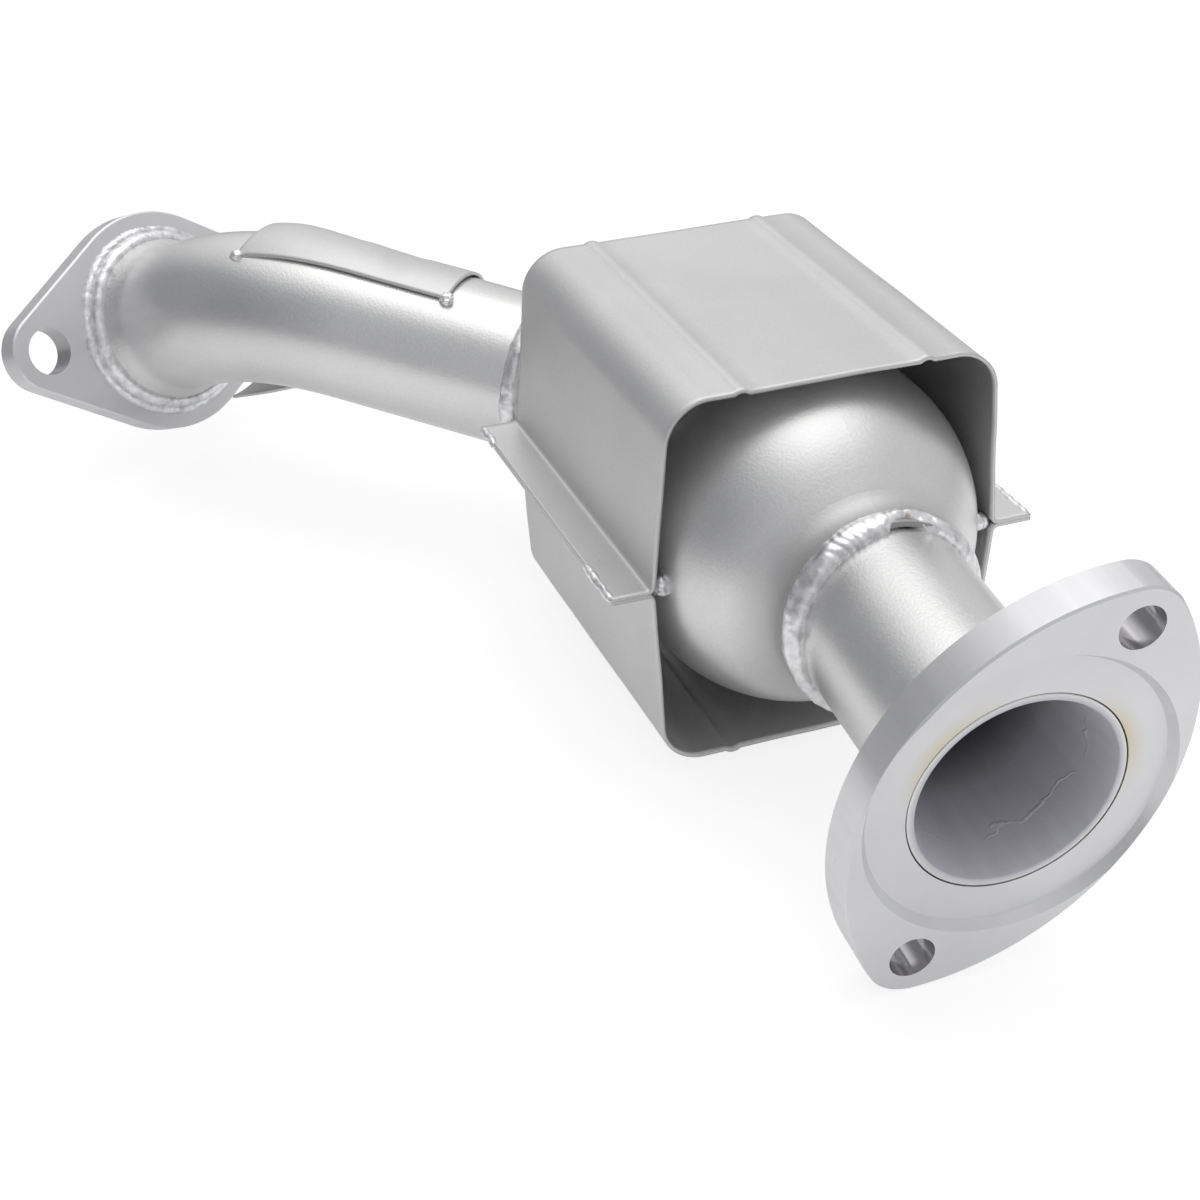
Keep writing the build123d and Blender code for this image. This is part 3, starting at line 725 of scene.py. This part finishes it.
class OBJECT_OT_converter_neck_welds(Operator):
    """Lumpy weld beads round both necks of the shell"""

    bl_idname = "object.converter_neck_welds"
    bl_label = "Neck Welds"

    def execute(self, context):
        bm = bmesh.new()
        oblique = Vector((1, tan(radians(3.4)), tan(radians(3.9))))
        place = axes(NECK_END - outlet_dir * 0.6 * MM, Vector((0, 1, 0)), oblique)
        add_ring(bm, place, NECK_BEAD_R, 3.3 * MM, 0.0, 1.7, width=1.25, wild=140.0, gap=78.0)
        add_piece(bm, "outlet_neck_bead", "weld_metal", "outlet_neck_weld")
        bm = bmesh.new()
        slant = rear_dir.dot(mitre_dir)
        place = axes(INLET_JOINT, rear_dir - mitre_dir * slant, mitre_dir)
        add_ring(bm, place, NECK_BEAD_R, 3.0 * MM, 0.0, 5.2, stretch=1 / slant, width=1.2)
        add_piece(bm, "inlet_neck_bead", "weld_metal", "inlet_neck_weld")
        return {"FINISHED"}


class OBJECT_OT_converter_flange_welds(Operator):
    """Double weld bead on the inlet flange and the fine one behind the outlet flange"""

    bl_idname = "object.converter_flange_welds"
    bl_label = "Flange Welds"

    def execute(self, context):
        bm = bmesh.new()
        place = axes(INLET_END, Vector((0, 0, 1)), end_dir)
        add_ring(bm, place, 31.5 * MM, 1.9 * MM, 0.1 * MM, 2.3, calm=0.8)
        add_ring(bm, place, 28.7 * MM, 2.7 * MM, 1.9 * MM, 8.8, width=1.3, calm=0.45)
        add_piece(bm, "inlet_flange_bead", "weld_metal", "inlet_flange_weld")
        coat_node("outlet_flange_weld", "weld_metal")
        return {"FINISHED"}


class OBJECT_OT_converter_shield_welds(Operator):
    """Tacks and ragged edge welds of the boxed heat shield"""

    bl_idname = "object.converter_shield_welds"
    bl_label = "Shield Welds"

    def execute(self, context):
        bm = bmesh.new()
        for side, seed in ((-1, 3.1), (1, 6.4)):
            y = BODY_Y + side * (SHIELD_HALF + SHIELD_LIP - 0.5 * MM)
            front = Vector((SHIELD_FRONT, y, SHIELD_SPLIT))
            rear = Vector((SHIELD_REAR + 13 * MM, y, SHIELD_SPLIT))
            add_stitch(bm, front, 22 * MM, 1.3 * MM, seed)
            add_stitch(bm, rear, 13 * MM, 1.3 * MM, seed + 9)
        add_piece(bm, "shield_stitches", "weld_metal", "shield_edge_welds")
        bm = bmesh.new()
        for x, inner in ((SHIELD_FRONT, -1), (SHIELD_REAR, 1)):
            for side in (-1, 1):
                y = BODY_Y + side * (SHIELD_HALF - 3.5 * MM)
                centre = Vector((x + inner * 3.0 * MM, y, SHIELD_SPLIT))
                add_blob(bm, centre, 2.7 * MM, side * 2.7 + inner)
        add_piece(bm, "shield_tack_lumps", "weld_metal", "shield_tacks")
        return {"FINISHED"}


# Tubes

# Radius and depth of the outlet tube's outline, in millimetres
OUTLET_OUTLINE = (
    (28.75, 2.5),
    (28.75, 8.0),
    (25.4, 10.2),
    (25.4, 11.4),
    (25.4, 13.0),
    (25.4, OUTLET_TUBE_END / MM - 3),
    (25.4, OUTLET_TUBE_END / MM - 1),
    (25.4, OUTLET_TUBE_END / MM),
    (23.4, OUTLET_TUBE_END / MM),
    (23.4, OUTLET_TUBE_END / MM - 1),
    (23.4, OUTLET_TUBE_END / MM - 3),
    (23.4, 33.0),
    (23.4, 30.0),
    (23.7, 21.0),
    (24.5, 12.5),
    (25.6, 7.0),
    (26.75, 2.5),
)


class OBJECT_OT_converter_outlet_tube(Operator):
    """Straight outlet tube whose bore widens smoothly into the flange"""

    bl_idname = "object.converter_outlet_tube"
    bl_label = "Outlet Tube"

    def execute(self, context):
        bm = bmesh.new()
        wall = [bm.verts.new((radius * MM, 0, -depth * MM)) for radius, depth in OUTLET_OUTLINE]
        for pair in zip(wall, wall[1:] + wall[:1]):
            bm.edges.new(pair)
        spin_round(bm, 160)
        bmesh.ops.remove_doubles(bm, verts=bm.verts, dist=1e-6)
        bmesh.ops.recalc_face_normals(bm, faces=bm.faces)
        bevel_edges(bm, sharp_edges(bm, 25), 0.35 * MM, 3)
        place = axes(Vector((0, 0, 0)), Vector((0, 1, 0)), outlet_dir)
        bmesh.ops.transform(bm, verts=bm.verts, matrix=place)
        bmesh.ops.recalc_face_normals(bm, faces=bm.faces)
        add_piece(bm, "outlet_tube", "pipe_coat", "outlet_pipe")
        return {"FINISHED"}


def station(distance):
    """Origin, x, y and z directions square to the inlet pipe."""
    turn = min(max((distance - first_run) / BEND_R, 0), bend_angle)
    side = bend_axis.cross(end_dir)
    origin = INLET_END + end_dir * (min(distance, first_run) + BEND_R * sin(turn))
    origin += side * BEND_R * (1 - cos(turn))
    origin += run_dir * max(distance - first_run - BEND_R * bend_angle, 0)
    level = Vector((-end_dir.y, end_dir.x, 0)).normalized()
    x_dir = level * cos(INLET_TURN) + end_dir.cross(level) * sin(INLET_TURN)
    spin = Matrix.Rotation(turn, 3, bend_axis)
    x_dir = spin @ x_dir
    z_dir = spin @ end_dir
    return origin, x_dir, z_dir.cross(x_dir), z_dir


def tube_rows(first, count):
    """Origins, x, y and z directions and outer radii along the inlet tube."""
    rows = []
    length = first_run + BEND_R * bend_angle + last_run
    for k in range(count + 1):
        distance = first + (length - first) * k / count
        past = min(max((distance - 1.0 * MM) / (13.0 * MM), 0.0), 1.0)
        flare = 1 - past * past * (3 - 2 * past)
        rows.append((*station(distance), PIPE_R + 3.5 * MM * flare))
    return rows


def wrap_tube(bm, rows, cells):
    """Adds the outside of the inlet tube as a grid wrapped round its line."""
    bmesh.ops.create_grid(bm, x_segments=cells, y_segments=len(rows) - 1, size=0.5)
    for vert in bm.verts:
        along = (vert.co.y + 0.5) * (len(rows) - 1)
        origin, x_dir, y_dir, z_dir, radius = rows[min(round(along), len(rows) - 1)]
        turn = (vert.co.x + 0.5) * 2 * pi
        spot = origin + (x_dir * cos(turn) + y_dir * sin(turn)) * radius
        share = min(max(along / (len(rows) - 1) - 0.6, 0.0) / 0.4, 1.0)
        reach = (INLET_JOINT - spot).dot(mitre_dir) / z_dir.dot(mitre_dir)
        end = (INLET_JOINT - origin).dot(mitre_dir) / z_dir.dot(mitre_dir)
        vert.co = spot + z_dir * (reach - end) * share


class OBJECT_OT_converter_inlet_tube(Operator):
    """Bent inlet tube whose end flares smoothly into the flange"""

    bl_idname = "object.converter_inlet_tube"
    bl_label = "Inlet Tube"

    def execute(self, context):
        bm = bmesh.new()
        rows = tube_rows(-7.5 * MM, 150)
        wrap_tube(bm, rows, 144)
        bmesh.ops.remove_doubles(bm, verts=bm.verts, dist=1e-6)
        origin, x_dir, _, _, radius = rows[0]
        face_towards(bm, origin + x_dir * radius, x_dir)
        outside = [face.calc_center_median() for face in bm.faces]
        bmesh.ops.solidify(bm, geom=bm.faces[:], thickness=INLET_WALL)
        tree = kdtree.KDTree(len(outside))
        for index, spot in enumerate(outside):
            tree.insert(spot, index)
        tree.balance()
        for face in bm.faces:
            far = tree.find(face.calc_center_median())[2]
            face.material_index = 1 if far > 1.2 * MM else 0
        bevel_edges(bm, sharp_edges(bm, 50), 0.3 * MM, 2)
        tube = add_piece(bm, "inlet_tube", "inlet_coat", "inlet_pipe")
        tube.data.materials.append(material("bare_bore"))
        return {"FINISHED"}


# Heat shields


def shield_outline(height):
    """Outer line of one shield half, from lip to lip, as (y, z) above the split."""
    lean = tan(radians(4.0))
    top = SHIELD_HALF - height * lean
    step = SHIELD_HALF - SHEET * lean
    rib_y, rib_r = 26.9 * MM, 4.0 * MM
    chord = sqrt(rib_r**2 - (rib_r - RIB_RISE) ** 2)
    half = [(SHIELD_HALF + SHIELD_LIP, SHEET), (step, SHEET), (top, height)]
    for share in (1, 0.66, 0.33, 0, -0.33, -0.66, -1):
        y = share * chord
        half.append((rib_y + y, height - rib_r + RIB_RISE + sqrt(rib_r**2 - y**2)))
    return half + [(-y, z) for y, z in reversed(half)]


def pressed_half(height, facing):
    """Bmesh of one shield half, its lips on the split plane."""
    sizes = bpy.context.scene.converter_sizes
    length = SHIELD_FRONT - SHIELD_REAR
    bm = bmesh.new()
    line = [
        bm.verts.new((SHIELD_FRONT, BODY_Y + y, SHIELD_SPLIT + facing * z))
        for y, z in shield_outline(height)
    ]
    edges = [bm.edges.new(pair) for pair in zip(line, line[1:])]
    made = bmesh.ops.extrude_edge_only(bm, edges=edges)["geom"]
    moved = [item for item in made if isinstance(item, bmesh.types.BMVert)]
    bmesh.ops.translate(bm, verts=moved, vec=(-length, 0, 0))

    def run(edge):
        """Length of an edge along X."""
        return abs(edge.verts[0].co.x - edge.verts[1].co.x)

    def long_edges(test):
        """Edges along the whole length whose (y, height) passes a test."""
        found = []
        for edge in bm.edges:
            y = abs(edge.verts[0].co.y - BODY_Y)
            z = facing * (edge.verts[0].co.z - SHIELD_SPLIT)
            if run(edge) > 0.5 * length and test(y, z):
                found.append(edge)
        return found

    corners = long_edges(lambda y, z: y > 40 * MM and z > 10 * MM)
    bevel_edges(bm, corners, SHIELD_CORNER_R * tan(radians(86) / 2), 14)
    folds = long_edges(lambda y, z: y < SHIELD_HALF + MM and z < 5 * MM)
    bevel_edges(bm, folds, 1.3 * MM, 5)
    wide = [edge for edge in bm.edges if run(edge) < 1e-6 and edge.calc_length() > 8 * MM]
    bmesh.ops.subdivide_edges(bm, edges=wide, cuts=12, use_grid_fill=True)
    long = long_edges(lambda y, z: True)
    bmesh.ops.subdivide_edges(bm, edges=long, cuts=sizes.lengthwise, use_grid_fill=True)
    middle = (SHIELD_FRONT + SHIELD_REAR) / 2
    top = Vector((middle, BODY_Y, SHIELD_SPLIT + facing * height))
    face_towards(bm, top, Vector((0, 0, facing)))
    for vert in bm.verts:
        lift = min(1.0, facing * (vert.co.z - SHIELD_SPLIT) / (20 * MM))
        soft = noise.noise(Vector((vert.co.x * 16, vert.co.y * 26, vert.co.z * 26)))
        ends = abs(vert.co.x - middle) / (length / 2)
        sharp = noise.noise(vert.co * 55) * ends**6
        inwards = sizes.wave * (abs(soft) * 1.2 + 0.5 * abs(sharp)) * max(0.0, lift)
        vert.co -= vert.normal * inwards
    bmesh.ops.solidify(bm, geom=bm.faces[:], thickness=SHEET)
    return bm


class OBJECT_OT_converter_box_shield(Operator):
    """Both halves of the boxed heat shield, softly dented"""

    bl_idname = "object.converter_box_shield"
    bl_label = "Boxed Heat Shield"

    def execute(self, context):
        for name, node, facing in (
            ("upper_sheet", "shield_upper", 1),
            ("lower_sheet", "shield_lower", -1),
        ):
            lo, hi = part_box(node)
            reach = hi[2] - SHIELD_SPLIT if facing > 0 else SHIELD_SPLIT - lo[2]
            bm = pressed_half(reach - RIB_RISE, facing)
            add_piece(bm, name, "sheet_coat", node)
        return {"FINISHED"}


# Sections of the pipe shield: distance and flare in millimetres, angles in degrees
PIPE_SHIELD_SECTIONS = (
    # distance, lean about x, lean about y, flare, trimmed angle
    (49.4, 26.0, -10.0, 6.2, 0.0),
    (61.0, 18.0, -5.0, 4.464, 8.0),
    (74.0, 9.0, 1.0, 1.984, 18.0),
    (97.0, 1.0, 3.0, 0.0, 24.0),
    (125.3, 0.0, 8.0, 0.0, 24.0),
)
PIPE_SHIELD_WRAP = 216.0
PIPE_SHIELD_FIRST = -56.0
PIPE_SHIELD_GAP = 0.8


def section_at(share):
    """Section values at a share of the pipe shield's length, on a smooth line."""
    rows = PIPE_SHIELD_SECTIONS
    distance = rows[0][0] + (rows[-1][0] - rows[0][0]) * share
    index = max(k for k in range(len(rows) - 1) if distance >= rows[k][0] - 1e-6)
    low, high = rows[index], rows[index + 1]
    span = high[0] - low[0]
    part = (distance - low[0]) / span

    def slope(k):
        """Slopes of a section's values, from its neighbours."""
        before, after = rows[max(k - 1, 0)], rows[min(k + 1, len(rows) - 1)]
        return [(b - a) / (after[0] - before[0]) for a, b in zip(before, after)]

    start, finish = slope(index), slope(index + 1)
    square, cube = part**2, part**3
    return [
        (2 * cube - 3 * square + 1) * low[k]
        + (cube - 2 * square + part) * span * start[k]
        + (3 * square - 2 * cube) * high[k]
        + (cube - square) * span * finish[k]
        for k in range(5)
    ]


def on_pipe_shield(share, turn_share, extra):
    """Point of the pipe shield's inside, pushed outwards by an extra height."""
    distance, lean_x, lean_y, flare, trim = section_at(share)
    origin, x_dir, y_dir, z_dir = station(distance * MM)
    x_dir = x_dir * cos(radians(lean_y)) - z_dir * sin(radians(lean_y))
    y_dir = y_dir * cos(radians(lean_x)) - z_dir * sin(radians(lean_x))
    wrap = PIPE_SHIELD_WRAP - trim
    angle = radians(PIPE_SHIELD_FIRST - wrap * (1 - turn_share))
    radius = PIPE_R + (PIPE_SHIELD_GAP + flare) * MM + extra
    x = radius * cos(angle) - 0.36 * flare * MM
    y = radius * sin(angle) + 0.45 * flare * MM
    # The near edge is drawn down to the pipe
    close = max(0.0, 4 * turn_share - 3) ** 2
    drawn = 1 + close * ((PIPE_R + 0.55 * MM + extra) / sqrt(x * x + y * y) - 1)
    return origin + (x_dir * x + y_dir * y) * drawn


class OBJECT_OT_converter_pipe_shield(Operator):
    """Crimped half-round sheet on the inlet pipe, with its tack welds"""

    bl_idname = "object.converter_pipe_shield"
    bl_label = "Pipe Heat Shield"

    def execute(self, context):
        sizes = context.scene.converter_sizes
        bm = bmesh.new()
        bmesh.ops.create_grid(bm, x_segments=90, y_segments=72, size=0.5)
        for vert in bm.verts:
            share, turn_share = vert.co.x + 0.5, vert.co.y + 0.5
            fold = noise.noise(Vector((share * 4.2, turn_share * 1.6, 7.3)))
            fold += 0.8 * noise.noise(Vector((share * 8.0, turn_share * 3.2, 1.3)))
            calm = min(1.0, (1 - turn_share) * 6, turn_share * 6)
            push = -sizes.crimp * max(0.0, fold + 0.15) * calm
            deepest = (0.55 + 0.4 * section_at(share)[3]) * MM
            vert.co = on_pipe_shield(share, turn_share, max(push, -deepest))
        middle = on_pipe_shield(0.5, 0.5, 0.0)
        face_towards(bm, middle, middle - on_pipe_shield(0.5, 0.5, MM))
        bmesh.ops.solidify(bm, geom=bm.faces[:], thickness=SHEET)
        add_piece(bm, "pipe_sheet", "sheet_coat", "pipe_shield")
        bm = bmesh.new()
        for share, turn_share, seed in ((0, 1, 1.1), (1, 1, 2.2), (0.61, 0, 3.3), (1, 0, 4.4)):
            add_blob(bm, on_pipe_shield(share, turn_share, 0.3 * MM), 2.3 * MM, seed)
        add_piece(bm, "pipe_sheet_tacks", "weld_metal", "pipe_shield_tacks")
        return {"FINISHED"}


class OBJECT_OT_converter_metal(Operator):
    """Finishes of the shell, the flanges and the inside"""

    bl_idname = "object.converter_metal"
    bl_label = "Metal Finishes"

    def execute(self, context):
        coat_node("converter_shell", "shell_coat")
        coat_node("outlet_flange", "outlet_plate")
        coat_node("inlet_flange", "inlet_plate")
        for place in ("front", "rear"):
            coat_node("substrate_" + place, "brick_ceramic")
            coat_node("mat_" + place, "mat_fibre")
            coat_node("seals_" + place, "seal_wire")
        return {"FINISHED"}


# Stage


def seen_share(shader):
    """One for what the camera sees, directly or through glass, and zero for the rest."""
    rays = shader.add("LightPath").outputs
    return shader.math("MAXIMUM", rays["Is Camera Ray"], rays["Is Transmission Ray"])


def floor_material():
    """Floor with the object's shadow: white to the camera, darker far off to the metal."""
    made, shader, surface = start_material("studio_floor", (0.8, 0.8, 0.8), 0.95, 0.0)
    surface["Specular IOR Level"].default_value = 0.0
    seen = seen_share(shader)
    far = shader.vector("DISTANCE", shader.place(), (-0.08, 0.08, 0.0))
    far = shader.masked(far, 0.28, 0.70)
    sheet = shader.mix(far, (0.96, 0.96, 0.96), (0.38, 0.38, 0.39))
    shader.put(surface["Base Color"], shader.mix(seen, sheet, (0.30, 0.30, 0.30)))
    faint = shader.scaled(far, -0.13, 0.13)
    lit = shader.math("MAXIMUM", shader.scaled(seen, 0.8), faint)
    glow = shader.add("Emission", {"Strength": lit}).outputs[0]
    matte = shader.nodes["Principled BSDF"].outputs[0]
    both = shader.add("AddShader", {0: matte, 1: glow}).outputs[0]
    shader.put(shader.nodes["Material Output"].inputs["Surface"], both)
    return made


def toward(turn, rise):
    """Direction from its turn about Z and its rise, in degrees."""
    turn, rise = radians(turn), radians(rise)
    return Vector((cos(turn) * cos(rise), sin(turn) * cos(rise), sin(rise)))


# Soft areas of the room: turn, rise, where it starts and is full, change of brightness
ROOM_AREAS = (
    (190.0, 82.0, 0.72, 0.94, 0.50),
    (182.0, 49.0, 0.77, 0.96, 0.29),
    (155.0, 20.0, 0.60, 0.95, 0.06),
    (-112.0, 12.0, 0.30, 0.93, -0.33),
    (-45.0, 15.0, 0.50, 0.95, -0.10),
)
ROOM_BRIGHTNESS = 0.66


def studio_world():
    """Soft white room, plain white to the camera: bright above, dimmer beside the camera."""
    world = bpy.data.worlds.new("studio")
    bpy.context.scene.world = world
    world.use_nodes = True
    shader = Shader(world.node_tree)
    total = ROOM_BRIGHTNESS
    for turn, rise, start, full, change in ROOM_AREAS:
        facing = shader.vector("DOT_PRODUCT", shader.place("Generated"), toward(turn, rise))
        limits = {"Value": facing, "From Min": start, "From Max": full, "To Max": change}
        area = shader.add("MapRange", limits, interpolation_type="SMOOTHSTEP").outputs[0]
        total = shader.plus(area, total)
    seen = seen_share(shader)
    bright = shader.math("MAXIMUM", shader.masked(total, 0.30, 0.80), seen)
    sky = shader.nodes["Background"].inputs
    shader.put(sky["Color"], shader.mix(bright, (0.93, 0.94, 1.0), (1.0, 1.0, 1.0)))
    shader.put(sky["Strength"], shader.math("MAXIMUM", total, seen))


def add_floor():
    """Plain floor just under the object."""
    bm = bmesh.new()
    bmesh.ops.create_grid(bm, x_segments=1, y_segments=1, size=6.0)
    bmesh.ops.translate(bm, verts=bm.verts, vec=(0, 0, solids_box[0].z - 0.2 * MM))
    mesh = bpy.data.meshes.new("studio_floor")
    bm.to_mesh(mesh)
    bm.free()
    mesh.materials.append(floor_material())
    ground = bpy.data.objects.new("studio_floor", mesh)
    bpy.context.scene.collection.objects.link(ground)


def add_lamp(name, place, aim, size, power):
    """Square area lamp aimed at a point."""
    data = bpy.data.lights.new(name, "AREA")
    data.shape = "SQUARE"
    data.size = size
    data.energy = power
    lamp = bpy.data.objects.new(name, data)
    lamp.location = place
    lamp.rotation_mode = "QUATERNION"
    lamp.rotation_quaternion = (Vector(aim) - Vector(place)).to_track_quat("-Z", "Y")
    bpy.context.scene.collection.objects.link(lamp)


def add_camera():
    """The photo's camera."""
    scene = bpy.context.scene
    data = bpy.data.cameras.new("photo_camera")
    data.sensor_width = 36.0
    data.lens = FOCAL_LENGTH / PHOTO_WIDTH * 36.0
    data.shift_x = (PHOTO_WIDTH / 2 - PHOTO_CENTRE[0]) / PHOTO_WIDTH
    data.shift_y = (PHOTO_CENTRE[1] - PHOTO_WIDTH / 2) / PHOTO_WIDTH
    data.clip_start = 0.01
    camera = bpy.data.objects.new("photo_camera", data)
    turn = Matrix((CAMERA_RIGHT, -CAMERA_DOWN, -CAMERA_AHEAD)).transposed()
    camera.matrix_world = Matrix.Translation(CAMERA_PLACE) @ turn.to_4x4()
    scene.collection.objects.link(camera)
    scene.camera = camera


class OBJECT_OT_converter_stage(Operator):
    """Floor, soft light and the camera"""

    bl_idname = "object.converter_stage"
    bl_label = "Stage"

    def execute(self, context):
        context.scene.view_settings.view_transform = "Standard"
        add_floor()
        studio_world()
        add_lamp("overhead", (-0.25, 0.15, 1.3), (-0.17, -0.03, 0.0), 1.2, 2.6)
        add_camera()
        return {"FINISHED"}


class VIEW3D_PT_converter(Panel):
    """Lists the converter's pieces, sizes and colours"""

    bl_label = "Catalytic Converter"
    bl_space_type = "VIEW_3D"
    bl_region_type = "UI"
    bl_category = "Converter"

    def draw(self, context):
        layout = self.layout
        for group in (context.scene.converter_sizes, context.scene.converter_colours):
            for name in group.bl_rna.properties.keys():
                if name not in {"name", "rna_type"}:
                    layout.prop(group, name)
        for step in STEPS:
            layout.operator(step.bl_idname)


STEPS = (
    OBJECT_OT_converter_stage,
    OBJECT_OT_converter_metal,
    OBJECT_OT_converter_outlet_tube,
    OBJECT_OT_converter_inlet_tube,
    OBJECT_OT_converter_neck_welds,
    OBJECT_OT_converter_flange_welds,
    OBJECT_OT_converter_box_shield,
    OBJECT_OT_converter_shield_welds,
    OBJECT_OT_converter_pipe_shield,
)
CLASSES = (ConverterSizes, ConverterColours, *STEPS, VIEW3D_PT_converter)


def register():
    for item in CLASSES:
        bpy.utils.register_class(item)
    bpy.types.Scene.converter_sizes = bpy.props.PointerProperty(type=ConverterSizes)
    bpy.types.Scene.converter_colours = bpy.props.PointerProperty(type=ConverterColours)


def unregister():
    del bpy.types.Scene.converter_colours
    del bpy.types.Scene.converter_sizes
    for item in reversed(CLASSES):
        bpy.utils.unregister_class(item)


def main():
    """Makes the stage and every piece."""
    register()
    for item in [found for found in bpy.data.objects if found.name in {"Cube", "Light", "Camera"}]:
        bpy.data.objects.remove(item)
    bpy.ops.object.converter_stage()
    bpy.ops.object.converter_metal()
    bpy.ops.object.converter_outlet_tube()
    bpy.ops.object.converter_inlet_tube()
    bpy.ops.object.converter_neck_welds()
    bpy.ops.object.converter_flange_welds()
    bpy.ops.object.converter_box_shield()
    bpy.ops.object.converter_shield_welds()
    bpy.ops.object.converter_pipe_shield()


if __name__ == "__main__":
    main()
